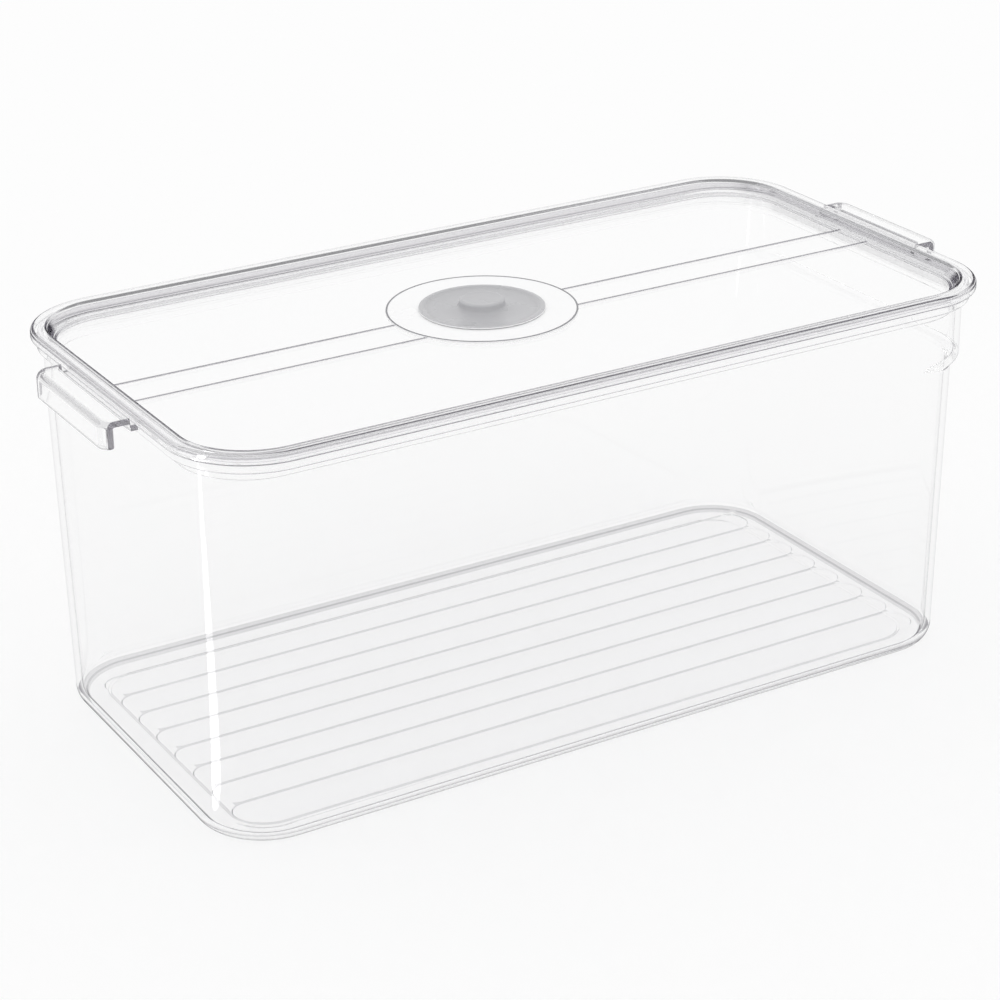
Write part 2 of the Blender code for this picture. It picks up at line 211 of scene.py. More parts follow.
def soften(path, rounds, closed=False):
    """Rounds the corners of a path of stations with true arcs.

    A corner P is swapped for the arc between the points A and B that lie the given length before and
    after it: ((1-t)^2 A + 2 w t (1-t) P + t^2 B) / ((1-t)^2 + 2 w t (1-t) + t^2), where w is the sine
    of half the angle between the two legs. Lengths are measured in the last column, the height, and in
    the one for the reach sideways.
    """
    reach = -3 if len(path[0]) > 2 else 0
    path = np.asarray(path, float)
    pieces_of_path = []
    count = len(path)
    for i in range(count):
        if rounds[i] <= 0 or (not closed and i in (0, count - 1)):
            pieces_of_path.append(path[i][None])
            continue
        before, here, after = path[i - 1], path[i], path[(i + 1) % count]
        leg_in, leg_out = (before - here)[[reach, -1]], (after - here)[[reach, -1]]
        long_in, long_out = np.linalg.norm(leg_in), np.linalg.norm(leg_out)
        start = here + (before - here) * min(rounds[i] / long_in, 0.5)
        end = here + (after - here) * min(rounds[i] / long_out, 0.5)
        cosine = np.clip(leg_in @ leg_out / (long_in * long_out), -1, 1)
        weight = math.sin(math.acos(cosine) / 2)
        t = np.linspace(0, 1, round_steps + 1)[:, None]
        top = (1 - t) ** 2 * start + 2 * weight * t * (1 - t) * here + t ** 2 * end
        pieces_of_path.append(top / ((1 - t) ** 2 + 2 * weight * t * (1 - t) + t ** 2))
    return np.concatenate(pieces_of_path)


def skin(name, grid, closed_path=False, capped=False):
    """Makes a mesh of a grid of points (stations by points round each), closed round every station.

    A closed path joins its last station to its first; a capped one gets a face at each end.
    """
    stations, around = grid.shape[:2]
    rows = np.arange(stations if closed_path else stations - 1)[:, None]
    columns = np.arange(around)[None]
    next_rows, next_columns = (rows + 1) % stations, (columns + 1) % around
    quads = np.stack([rows * around + columns, rows * around + next_columns,
                      next_rows * around + next_columns, next_rows * around + columns], axis=-1)
    faces = quads.reshape(-1, 4).tolist()
    if capped:
        faces.append(list(range(around)))
        faces.append(list(range((stations - 1) * around, stations * around)))
    mesh = bpy.data.meshes.new(name)
    mesh.from_pydata(grid.reshape(-1, 3).tolist(), [], faces)
    bm = bmesh.new()
    bm.from_mesh(mesh)
    bmesh.ops.remove_doubles(bm, verts=bm.verts, dist=1e-7)
    bmesh.ops.recalc_face_normals(bm, faces=bm.faces)
    bm.to_mesh(mesh)
    bm.free()
    obj = bpy.data.objects.new(name, mesh)
    bpy.context.scene.collection.objects.link(obj)
    return obj


def rounded_rectangles(stations):
    """Grid of rounded rectangles: each corner is centre + radius (cos a, sin a) over its own quarter turn.

    A station is middle in x, middle in y, half length, half width, corner radius and height.
    """
    middle_x, middle_y, half_x, half_y, corner, height = np.asarray(stations, float).T[:, :, None]
    quarter = np.repeat(np.arange(4), corner_steps + 1)[None]
    angle = (np.tile(np.linspace(0, 1, corner_steps + 1), 4)[None] + quarter) * math.pi / 2
    sign_x = np.where((quarter == 0) | (quarter == 3), 1, -1)
    sign_y = np.where(quarter < 2, 1, -1)
    x = middle_x + sign_x * (half_x - corner) + corner * np.cos(angle)
    y = middle_y + sign_y * (half_y - corner) + corner * np.sin(angle)
    return np.stack([x, y, np.broadcast_to(height, x.shape)], axis=-1)


def turned(name, path, closed=False):
    """Turns a path of (radius, height) about the vent's axis: (x0 + r cos a, y0 + r sin a, z)."""
    radius, height = np.asarray(path, float).T[:, :, None]
    angle = np.linspace(0, 2 * math.pi, turn_steps, endpoint=False)[None]
    height = np.broadcast_to(height, (len(path), turn_steps))
    x = vent_middle[0] + radius * np.cos(angle)
    y = vent_middle[1] + radius * np.sin(angle)
    grid = np.stack([x, y, height], axis=-1)
    return skin(name, grid, closed_path=closed)


def grown(station, by, height):
    """The same rounded rectangle, offset outward by a distance and put at a height."""
    middle_x, middle_y, half_x, half_y, corner, _ = station
    return (middle_x, middle_y, half_x + by, half_y + by, corner + by, height)


def joined(obj, tool, operation):
    """Joins or cuts one closed solid with another and keeps the result as plain mesh."""
    modifier = obj.modifiers.new(operation, "BOOLEAN")
    modifier.operation = operation
    modifier.solver = "EXACT"
    modifier.object = tool
    shaped = bpy.data.meshes.new_from_object(obj.evaluated_get(bpy.context.evaluated_depsgraph_get()))
    obj.modifiers.clear()
    obj.data = shaped
    bpy.data.objects.remove(tool, do_unlink=True)
    return obj


def smooth(obj):
    """Smooth shading, broken only where two faces meet at a real edge."""
    obj.data.shade_smooth()
    obj.data.set_sharp_from_angle(angle=sharp_angle)
    return obj


# Pieces

def tub_shell():
    """Outer face, rim and inner face of the tub as one path of rounded rectangles."""
    base = (low_middle, 0, base_half_x + low_middle, base_half_y, base_corner, 0)
    side = (low_middle, 0, side_half_x + low_middle, side_half_y, side_corner, shoulder_bottom)
    shoulder = (0, 0, side_half_x, side_half_y, side_corner, shoulder_bottom + shoulder_rise)
    neck = grown(shoulder, 0, rim_top - rim_height)
    rim = (0, 0, rim_half_x, rim_half_y, rim_corner, rim_top - rim_height)
    ring_inside = -foot_height - foot_width
    path = [
        (grown(base, ring_inside - flat_inset, foot_recess), 0),
        (grown(base, ring_inside - foot_recess_slope, foot_recess), foot_round),
        (grown(base, ring_inside, 0), foot_round),
        (base, foot_height),
        (side, shoulder_low_round),
        (shoulder, shoulder_high_round),
        (neck, under_rim_round),
        (rim, rim_edge_round),
        (grown(rim, 0, rim_top), rim_top_round),
        (grown(neck, -wall, rim_top), rim_edge_round),
        (grown(shoulder, -wall, shoulder[-1] + wall / 2), shoulder_high_round),
        (grown(side, -wall, side[-1] + wall / 2), shoulder_low_round),
        (grown(base, -wall, floor_top), foot_height - wall),
        (grown(base, -foot_height - flat_ring, floor_top), 0),
        (grown(base, -foot_height - 2 * flat_ring, floor_top), 0),
    ]
    stations, rounds = zip(*path)
    return skin("tub_body", rounded_rectangles(soften(stations, rounds)), capped=True)


def handle(side):
    """A hook-shaped section carried across the end of the bin; its outer part draws in at both ends.

    At the plan angle a the section sits R (1 - cos a) further in and ends R (1 - sin a) before the
    handle's end, which rounds its corners seen from above.
    """
    root = rim_half_x - rim_height
    under = rim_top - handle_root_sink
    grip = rim_top + handle_lift
    steps = np.linspace(0, 1, 13)[:, None]
    ease = steps * steps * (3 - 2 * steps)
    rise = np.hstack([handle_step_in + (handle_step_out - handle_step_in) * steps,
                      under + (grip - under) * ease])
    out = tub_high[0]
    corner = np.array([[out, grip]])
    lip = np.array([[out, grip - handle_drop]])
    inner_rise = rise - [0, handle_thick]
    inner_corner = corner - [handle_thick, handle_thick]
    inner_lip = lip - [handle_thick, 0]
    outline = np.vstack([[[root, under]], rise, corner, lip, inner_lip, inner_corner, inner_rise[::-1],
                         [[root, under - handle_thick]]])
    bends = [handle_bend, handle_lip_round, handle_lip_round, handle_inner_round]
    rounds = [0] * (1 + len(rise)) + bends + [0] * (1 + len(rise))
    outline = soften(outline, rounds, closed=True)

    angle = np.linspace(math.radians(68), 0, 12)
    inset = handle_plan_round * (1 - np.cos(angle))
    reach = handle_half_width - handle_plan_round * (1 - np.sin(angle) / math.sin(angle[0]))
    y = np.concatenate([reach, -reach[::-1]])
    inset = np.concatenate([inset, inset[::-1]])
    past_step = np.clip((outline[:, 0] - handle_step_in) / (handle_step_out - handle_step_in), 0, 1)
    x = outline[None, :, 0] - inset[:, None] * past_step[None]
    grid = np.stack([side * x, np.broadcast_to(y[:, None], x.shape),
                     np.broadcast_to(outline[None, :, 1], x.shape)], axis=-1)
    return skin("handle", grid, capped=True)


def flute(index):
    """A shallow recess with round ends: rounded rectangles that shrink as they go down into the floor."""
    middle_y = (index - (flute_count - 1) / 2) * flute_pitch
    top = (0, middle_y, flute_half_x, (flute_pitch - flute_ridge) / 2, flute_corner, floor_top)
    low = grown(top, -flute_draft, floor_top - flute_depth)
    path = [
        (grown(low, -flute_flat_inset, low[-1]), 0),
        (low, flute_low_round),
        (top, 0),
        (grown(top, flute_draft, floor_top + flute_depth), 0),
    ]
    stations, rounds = zip(*path)
    return skin("flute", rounded_rectangles(soften(stations, rounds)), capped=True)


def make_tub(material):
    tub = tub_shell()
    tub = joined(tub, handle(1), "UNION")
    tub = joined(tub, handle(-1), "UNION")
    for index in range(flute_count):
        tub = joined(tub, flute(index), "DIFFERENCE")
    return finish_piece(tub, "clear_tub", material, "tub", "bin_tub")


def lid_shell():
    """Panel, plug, gasket channel and raised edge of the lid as one path of rounded rectangles."""
    outer = (0, 0, lid_high[0], lid_high[1], lid_corner, lid_edge_bottom)
    mouth = (0, 0, side_half_x - wall, side_half_y - wall, side_corner - wall, rim_top)
    plug = grown(mouth, -plug_clearance, lid_edge_bottom)
    plug_inner = grown(plug, -lid_skin, panel_bottom)
    bead_inner = grown(outer, -bead_width, lid_high[2])
    plug_bottom = rim_top - plug_depth
    channel_top = lid_high[2] - lid_skin
    path = [
        (grown(plug_inner, -flat_inset, panel_bottom), 0),
        (plug_inner, panel_under_round),
        (grown(plug_inner, -plug_taper, plug_bottom), plug_foot_round),
        (grown(plug, -plug_taper, plug_bottom), plug_foot_round),
        (plug, plug_top_round),
        (grown(bead_inner, lid_skin / 2, channel_top), channel_inner_round),
        (grown(outer, -lid_skin, channel_top), channel_outer_round),
        (grown(outer, -lid_skin, lid_edge_bottom), channel_foot_round),
        (outer, lid_edge_foot_round),
        (grown(outer, 0, lid_high[2]), lid_edge_round),
        (bead_inner, bead_inner_round),
        (grown(plug_inner, 0, panel_top), panel_round),
        (grown(plug_inner, -flat_inset, panel_top), 0),
        (grown(plug_inner, -flat_inset - flat_ring, panel_top), 0),
    ]
    stations, rounds = zip(*path)
    return skin("lid_body", rounded_rectangles(soften(stations, rounds)), capped=True)


def band():
    """Flat strip along the middle of the lid, with a fine raised line along its edges."""
    end = side_half_x - wall - plug_clearance - lid_skin / 2
    foot = (0, 0, end, band_half_width, line_width + line_corner, panel_bottom + lid_skin / 2)
    path = [
        (foot, 0),
        (grown(foot, 0, line_top), line_round),
        (grown(foot, -line_width, line_top), line_round),
        (grown(foot, -line_width - line_slope, band_top), 0),
    ]
    stations, rounds = zip(*path)
    return skin("band", rounded_rectangles(soften(stations, rounds)), capped=True)


def seat():
    """Ring round the vent, and the cup under it that holds the seal's seat."""
    cup = well_radius + well_wall
    floor = boss_top - well_depth
    hole = stem_radius + stem_clearance
    path = [
        ((well_radius, boss_top - well_edge), line_round),
        ((well_radius + well_edge, boss_top), 0),
        ((boss_radius - seat_line_width, boss_top), 0),
        ((boss_radius - seat_line_width * 0.8, boss_top + seat_line_height), line_round / 2),
        ((boss_radius, boss_top + seat_line_height), line_round),
        ((boss_radius, panel_bottom), line_round),
        ((cup, panel_bottom), line_round),
        ((cup, floor - well_floor_thick), cup_round),
        ((hole, floor - well_floor_thick), stem_hole_round),
        ((hole, floor), stem_hole_round),
        ((well_radius, floor), well_floor_round),
    ]
    stations, rounds = zip(*path)
    return turned("seat", soften(stations, rounds, closed=True), closed=True)


def round_bar(name, radius, low, high, place=(0, 0)):
    """Upright bar, at a place given from the vent's axis."""
    bar = turned(name, [(0, low), (radius, low), (radius, high), (0, high)])
    bar.data.transform(Matrix.Translation((place[0], place[1], 0)))
    return bar


def make_lid(material):
    lid = joined(lid_shell(), band(), "UNION")
    opening = round_bar("opening", boss_radius + hair, panel_bottom - overshoot, line_top + overshoot)
    lid = joined(lid, opening, "DIFFERENCE")
    return finish_piece(lid, "clear_lid", material, "lid", "lid")


def make_seat(material):
    piece = seat()
    floor = boss_top - well_depth
    for index in range(vent_hole_count):
        angle = 2 * math.pi * index / vent_hole_count
        place = (vent_hole_circle * math.cos(angle), vent_hole_circle * math.sin(angle))
        hole = round_bar("hole", vent_hole_radius, floor - well_floor_thick - overshoot, floor + overshoot,
                         place)
        piece = joined(piece, hole, "DIFFERENCE")
    return finish_piece(piece, "milky_vent_seat", material, "lid", "lid")


def make_gasket(material):
    """Soft band with a crowned top, in the channel under the lid's edge."""
    low, high = gasket_low, gasket_high
    corner = rim_corner - (rim_half_x - high[0])
    bead_inner = (0, 0, lid_high[0] - bead_width, lid_high[1] - bead_width, lid_corner - bead_width, 0)
    outer = (0, 0, high[0], high[1], corner, low[2])
    inner = grown(bead_inner, gasket_side_gap + lid_skin / 2, low[2])
    path = [
        (outer, gasket_foot_round),
        (grown(outer, 0, high[2]), gasket_crown_round),
        (grown(inner, 0, high[2]), gasket_crown_round),
        (inner, gasket_foot_round),
    ]
    stations, rounds = zip(*path)
    grid = rounded_rectangles(soften(stations, rounds, closed=True))
    piece = skin("gasket", grid, closed_path=True)
    return finish_piece(piece, "soft_gasket", material, "lid", "lid_gasket")


def make_cap(material):
    """Dish, flared knob, skirt and barbed stem as one turned profile."""
    dish = lip_top - cap_dish_depth
    under_dish = dish - cap_thick
    skirt_outer = seal_high[0] - vent_middle[0] - (seal_wall + seat_gap)
    skirt_inner = skirt_outer - skirt_thick
    skirt_bottom = seal_low[2] + (seal_pad_thick + seat_gap)
    barb_top = cap_low[2] + barb_height
    edge = cap_high[0] - vent_middle[0]
    path = [
        ((0, cap_high[2] - 0.0003), 0),
        ((knob_radius * 0.72, cap_high[2] - 0.0002), 0.002),
        ((knob_radius * 0.90, cap_high[2]), 0.0005),
        ((knob_radius, cap_high[2] - 0.0004), 0.0005),
        ((knob_radius + 0.0006, lip_top - 0.0001), 0.0012),
        ((knob_radius + 0.0035, dish + 0.0003), 0.0018),
        ((edge - cap_dish_width, dish), 0.0040),
        ((edge - 0.0028, lip_top - 0.0005), 0.0010),
        ((edge - 0.0018, lip_top), 0.0006),
        ((edge, lip_top), 0.0006),
        ((edge, lip_bottom), 0.0002),
        ((skirt_outer + 0.0014, lip_bottom), 0.0003),
        ((skirt_outer, under_dish + 0.0006), 0.0006),
        ((skirt_outer, skirt_bottom), 0.0002),
        ((skirt_inner, skirt_bottom), 0.0002),
        ((skirt_inner, under_dish), 0.0005),
        ((stem_radius, under_dish + 0.0004), 0.0006),
        ((stem_radius, barb_top), 0.0001),
        ((stem_radius + barb_reach, barb_top - 0.0002), 0.0002),
        ((stem_radius + barb_reach, barb_top - barb_reach), 0.0003),
        ((stem_radius * 0.7, cap_low[2]), 0.0003),
        ((0, cap_low[2]), 0),
    ]
    stations, rounds = zip(*path)
    piece = turned("cap", soften(stations, rounds))
    return finish_piece(piece, "grey_vent_cap", material, "vent", "vent_cap")


def make_vent_seal(material):
    """Ring of L section round the cap's skirt."""
    outer = seal_high[0] - vent_middle[0]
    hug = outer - seal_wall
    inner = hug - seat_gap - skirt_thick
    pad_top = seal_low[2] + seal_pad_thick
    path = [
        ((hug, seal_high[2]), 0.0003), ((outer, seal_high[2]), 0.0004), ((outer, seal_low[2]), 0.0005),
        ((inner, seal_low[2]), 0.0004), ((inner, pad_top), 0.0002), ((hug, pad_top), 0.0001),
    ]
    stations, rounds = zip(*path)
    piece = turned("seal", soften(stations, rounds, closed=True), closed=True)
    return finish_piece(piece, "soft_vent_seal", material, "vent", "vent_seal")


def finish_piece(obj, name, material, body, node):
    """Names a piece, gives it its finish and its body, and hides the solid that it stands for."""
    obj.name = name
    obj.data.materials.clear()
    obj.data.materials.append(material)
    smooth(obj)
    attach(obj, body)
    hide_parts(node)
    return obj


# Finishes

def new_material(name):
    """An empty material, with its nodes and links."""
    material = bpy.data.materials.new(name)
    material.use_nodes = True
    material.node_tree.nodes.clear()
    return material, material.node_tree.nodes, material.node_tree.links


class Maths:
    """Adds arithmetic to a node tree; each call gives back the new node's result."""

    def __init__(self, nodes, links):
        self.nodes, self.links = nodes, links

    def calculate(self, operation, first, second=0.0):
        node = self.nodes.new("ShaderNodeMath")
        node.operation = operation
        for socket, value in zip(node.inputs, (first, second)):
            if isinstance(value, float):
                socket.default_value = value
            else:
                self.links.new(value, socket)
        return node.outputs["Value"]

    def times(self, first, *others):
        for other in others:
            first = self.calculate("MULTIPLY", first, other)
        return first

    def most(self, first, *others):
        for other in others:
            first = self.calculate("MAXIMUM", first, other)
        return first

    def above(self, value, limit):
        return self.calculate("GREATER_THAN", value, limit)

    def below(self, value, limit):
        return self.calculate("LESS_THAN", value, limit)

    def size(self, value):
        return self.calculate("ABSOLUTE", value)

    def rest(self, value):
        return self.calculate("SUBTRACT", 1.0, value)

    def step(self, value, ends, to_low=0.0, to_high=1.0):
        """Eases from one value to another between two ends."""
        step = self.nodes.new("ShaderNodeMapRange")
        step.interpolation_type = "SMOOTHSTEP"
        step.inputs["From Min"].default_value, step.inputs["From Max"].default_value = ends
        step.inputs["To Min"].default_value = to_low
        step.inputs["To Max"].default_value = to_high
        self.links.new(value, step.inputs["Value"])
        return step.outputs["Result"]

    def along(self, place, direction):
        """How far a place or normal reaches in a direction."""
        dot = self.nodes.new("ShaderNodeVectorMath")
        dot.operation = "DOT_PRODUCT"
        dot.inputs[1].default_value = direction
        self.links.new(place, dot.inputs[0])
        return dot.outputs["Value"]


def blend(nodes, links, share, first, second):
    """Mixes two shaders; a share of 1 is all of the second."""
    mix = nodes.new("ShaderNodeMixShader")
    links.new(share, mix.inputs["Fac"])
    links.new(first, mix.inputs[1])
    links.new(second, mix.inputs[2])
    return mix.outputs["Shader"]


def see_through(nodes, color):
    clear = nodes.new("ShaderNodeBsdfTransparent")
    clear.inputs["Color"].default_value = (*color, 1)
    return clear.outputs["BSDF"]


def moulded_surface_group():
    """Faint unevenness of moulded plastic: a roughness and a normal that drift over the surface."""
    group = bpy.data.node_groups.new("moulded_surface", "ShaderNodeTree")
    for name, kind, value in (("Scale", "NodeSocketFloat", 12.0), ("Rough Low", "NodeSocketFloat", 0.0),
                              ("Rough High", "NodeSocketFloat", 0.1), ("Ripple", "NodeSocketFloat", 0.1)):
        group.interface.new_socket(name, in_out="INPUT", socket_type=kind).default_value = value
    group.interface.new_socket("Roughness", in_out="OUTPUT", socket_type="NodeSocketFloat")
    group.interface.new_socket("Normal", in_out="OUTPUT", socket_type="NodeSocketVector")
    nodes, links = group.nodes, group.links
    given, result = nodes.new("NodeGroupInput"), nodes.new("NodeGroupOutput")
    place = nodes.new("ShaderNodeTexCoord")
    haze = nodes.new("ShaderNodeTexNoise")
    haze.inputs["Detail"].default_value = 4.0
    ripple = nodes.new("ShaderNodeTexNoise")
    ripple.inputs["Detail"].default_value = 1.0
    spread = nodes.new("ShaderNodeMapRange")
    spread.inputs["From Min"].default_value = 0.35
    spread.inputs["From Max"].default_value = 0.75
    bump = nodes.new("ShaderNodeBump")
    bump.inputs["Distance"].default_value = 0.0004
    links.new(place.outputs["Object"], haze.inputs["Vector"])
    links.new(place.outputs["Object"], ripple.inputs["Vector"])
    links.new(given.outputs["Scale"], haze.inputs["Scale"])
    links.new(given.outputs["Scale"], ripple.inputs["Scale"])
    links.new(haze.outputs["Fac"], spread.inputs["Value"])
    links.new(given.outputs["Rough Low"], spread.inputs["To Min"])
    links.new(given.outputs["Rough High"], spread.inputs["To Max"])
    links.new(ripple.outputs["Fac"], bump.inputs["Height"])
    links.new(given.outputs["Ripple"], bump.inputs["Strength"])
    links.new(spread.outputs["Result"], result.inputs["Roughness"])
    links.new(bump.outputs["Normal"], result.inputs["Normal"])
    return group


def add_surface(nodes, links, shader, scale, low, high, ripple):
    """Gives a shader the moulded surface: roughness from low to high, and ripples of the given strength."""
    surface = nodes.new("ShaderNodeGroup")
    surface.node_tree = moulded
    surface.inputs["Scale"].default_value = scale
    surface.inputs["Rough Low"].default_value = low
    surface.inputs["Rough High"].default_value = high
    surface.inputs["Ripple"].default_value = ripple
    links.new(surface.outputs["Roughness"], shader.inputs["Roughness"])
    links.new(surface.outputs["Normal"], shader.inputs["Normal"])


class Moulding(Maths):
    """Where a point of a clear moulding lies, which way its surface faces, and masks worked out from that.

    Each mask is 1 on what it names and 0 off it. The group that paints shade on the narrow rounds and the
    materials themselves both use them, because a group feeds colours here and never a mix of shaders.
    """

    def __init__(self, nodes, links):
        super().__init__(nodes, links)
        here = nodes.new("ShaderNodeTexCoord").outputs
        self.along_x = self.along(here["Object"], (1, 0, 0))
        self.out_x = self.size(self.along_x)
        self.out_y = self.size(self.along(here["Object"], (0, 1, 0)))
        self.height = self.along(here["Object"], (0, 0, 1))
        self.across = self.size(self.along(here["Normal"], (0, 1, 0)))
        self.facing = self.along(here["Normal"], (0, 0, 1))
        self.tilt = self.size(self.facing)
        self.leaning = self.times(self.step(self.tilt, tilt_leaning),
                                  self.step(self.tilt, tilt_level, 1.0, 0.0))

    def bead(self, top_height):
        """The lid's raised edge, without the slope inside it."""
        off_slope = self.size(self.calculate("SUBTRACT", self.tilt, tilt_lid_slope))
        return self.times(self.above(self.height, top_height), self.above(self.facing, 0.0),
                          self.step(off_slope, off_lid_slope))

    def floor_inside(self, floor_height):
        """The tub's floor inside, where shade is painted; the painted shade is fainter at the flutes' far
        ends.
        """
        far_ends = self.times(
            self.step(self.along_x, [flute_half_x - inset for inset in flute_end_fade], 0.0, far_end_loss),
            self.below(self.along_x, flute_half_x + 0.0010),
            self.below(self.out_y, (flute_count / 2 + 0.1) * flute_pitch))
        return self.times(self.below(self.height, floor_height), self.above(self.facing, 0.0),
                          self.rest(far_ends))

    def thin(self, top_height, floor_height):
        """The rounds of the lid's raised edge and of the floor inside."""
        return self.times(self.leaning, self.most(self.bead(top_height), self.floor_inside(floor_height)))

    def band_lines(self):
        """The tops of the fine lines along the lid's band."""
        return self.times(self.above(self.height, band_top + 2 * hair),
                          self.below(self.height, line_top + 2 * hair),
                          self.below(self.out_y, band_half_width + 0.0003),
                          self.above(self.out_y, band_half_width - line_width - 0.0003),
                          self.above(self.facing, level_from))

    def walls(self):
        """The tub's upright walls, from foot to rim."""
        return self.times(self.step(self.tilt, tilt_wall, 1.0, 0.0),
                          self.step(self.height, (foot_height, foot_height + 0.0015)),
                          self.below(self.height, rim_top - rim_height - 0.0010),
                          self.below(self.out_x, rim_half_x))


def narrow_round_group():
    """Shares of painted shade on the clear mouldings, from 0 to 1, by height, place and tilt.

    Edge is the painted shade on what is narrow: the rounds of the lid's raised edge, of the undersides of lid
    and rim, of the handles and of the floor inside, and the tops of the fine lines and of the ridges between
    flutes.
    Base is the painted shade on the round under the tub.
    """
    group = bpy.data.node_groups.new("narrow_round", "ShaderNodeTree")
    for name, value in (("Rim Height", 0.15), ("Floor Height", 0.004), ("Reach", 0.19), ("Top Height", 0.16)):
        group.interface.new_socket(name, in_out="INPUT", socket_type="NodeSocketFloat").default_value = value
    for name in ("Edge", "Base"):
        group.interface.new_socket(name, in_out="OUTPUT", socket_type="NodeSocketFloat")
    given, result = group.nodes.new("NodeGroupInput"), group.nodes.new("NodeGroupOutput")
    spot = Moulding(group.nodes, group.links)
    times, most, above, below, step = spot.times, spot.most, spot.above, spot.below, spot.step
    height, facing = spot.height, spot.facing

    bead = spot.bead(given.outputs["Top Height"])
    underside = times(below(height, lid_edge_bottom + 0.001), below(facing, 0.0),
                      above(height, given.outputs["Rim Height"]))
    high = times(most(times(bead, bead_shade), underside), below(spot.out_x, given.outputs["Reach"]))
    handles = times(above(spot.out_x, given.outputs["Reach"]), above(height, handle_zone_bottom))
    high = most(high, times(handles, handle_shade))
    inside = spot.floor_inside(given.outputs["Floor Height"])
    edge = times(spot.leaning, most(high, times(inside, floor_round_shade)))
    ridges = times(above(height, floor_top - hair), below(height, floor_top + hair),
                   below(spot.out_x, flute_half_x - flute_corner / 2),
                   below(spot.out_y, (flute_count / 2 - 0.6) * flute_pitch), above(facing, level_from))
    base_round = times(step(facing, base_round_side, 1.0, 0.0), step(facing, base_round_flat),
                       below(height, base_zone_top))
    group.links.new(most(edge, spot.band_lines(), times(ridges, flute_ridge_shade)), result.inputs["Edge"])
    group.links.new(base_round, result.inputs["Base"])
    return group


def clear_plastic(name, color, edge_shade_color, strength, low, high, bend=1.49, top_height=1.0, thin_walls=False):
    """Clear plastic that bends light and lets shadows through; painted shade darkens it where it is seen edge
    on and on its narrow rounds.

    With thin walls, light goes straight through the upright walls, as it does through a thin even sheet.
    """
    material, nodes, links = new_material(name)
    spot = Moulding(nodes, links)
    times, most, above, step = spot.times, spot.most, spot.above, spot.step
    out = nodes.new("ShaderNodeOutputMaterial")
    shader = nodes.new("ShaderNodeBsdfPrincipled")
    shader.inputs["Transmission Weight"].default_value = 1.0
    shader.inputs["IOR"].default_value = bend
    add_surface(nodes, links, shader, 9.0, low, high, 0.02)
    floor_height = floor_top + floor_margin
    rounds = nodes.new("ShaderNodeGroup")
    rounds.node_tree = narrow_round
    rounds.inputs["Rim Height"].default_value = rim_top - under_rim_zone
    rounds.inputs["Floor Height"].default_value = floor_height
    rounds.inputs["Reach"].default_value = lid_high[0] + lid_reach_margin
    rounds.inputs["Top Height"].default_value = top_height
    # Painted shade: the narrow rounds and the round under the tub are tinted grey
    painted_light_mix = nodes.new("ShaderNodeMix")
    painted_light_mix.data_type = "RGBA"
    painted_light_mix.inputs["A"].default_value = (*color, 1)
    painted_light_mix.inputs["B"].default_value = (*edge_shade_color, 1)
    links.new(most(times(rounds.outputs["Edge"], strength), times(rounds.outputs["Base"], base_round_shade)),
              painted_light_mix.inputs["Factor"])
    links.new(painted_light_mix.outputs["Result"], shader.inputs["Base Color"])

    side = nodes.new("ShaderNodeNewGeometry")
    outside = spot.rest(side.outputs["Backfacing"])
    grazing = nodes.new("ShaderNodeLayerWeight")
    grazing.inputs["Blend"].default_value = 0.5
    # Painted shade: a grey outline where the surface turns away, on narrow rounds, on the handles' cut ends
    # and on the band's fine lines
    line = times(step(grazing.outputs["Facing"], away_outside, 0.0, most_outline), outside)
    narrow = times(spot.thin(top_height, floor_height),
                   step(grazing.outputs["Facing"], away_narrow, 0.0, most_outline))
    cut_end = times(above(spot.across, cut_end_facing), above(spot.out_x, rim_half_x))
    line = most(line, narrow, times(cut_end, cut_end_outline), times(spot.band_lines(), raised_line_outline))
    body = shader.outputs["BSDF"]
    if thin_walls:
        walls = spot.walls()
        mirror = nodes.new("ShaderNodeFresnel")
        mirror.inputs["IOR"].default_value = bend
        held = times(above(mirror.outputs["Fac"], held_share), side.outputs["Backfacing"],
                     spot.below(spot.height, held_height))
        gloss = nodes.new("ShaderNodeBsdfGlossy")
        gloss.inputs["Color"].default_value = (1, 1, 1, 1)
        gloss.inputs["Roughness"].default_value = sheet_roughness
        sheet = blend(nodes, links, times(mirror.outputs["Fac"], outside),
                      see_through(nodes, through_sheet), gloss.outputs["BSDF"])
        body = blend(nodes, links, most(walls, held), body, sheet)
        line = times(line, spot.rest(times(walls, wall_outline_loss)))
    # Painted shade: the outline mixes in a grey see-through shader
    drawn = blend(nodes, links, line, body, see_through(nodes, painted_edge_shade))

    path = nodes.new("ShaderNodeLightPath")
    passing = most(path.outputs["Is Shadow Ray"], path.outputs["Is Diffuse Ray"],
                   above(path.outputs["Glossy Depth"], most_mirrorings),
                   above(path.outputs["Ray Depth"], most_turns))
    whole = blend(nodes, links, passing, drawn, see_through(nodes, passed_on))
    links.new(whole, out.inputs["Surface"])
    depth = nodes.new("ShaderNodeVolumeAbsorption")
    depth.inputs["Color"].default_value = (*depth_color, 1)
    depth.inputs["Density"].default_value = depth_density
    links.new(depth.outputs["Volume"], out.inputs["Volume"])
    return material


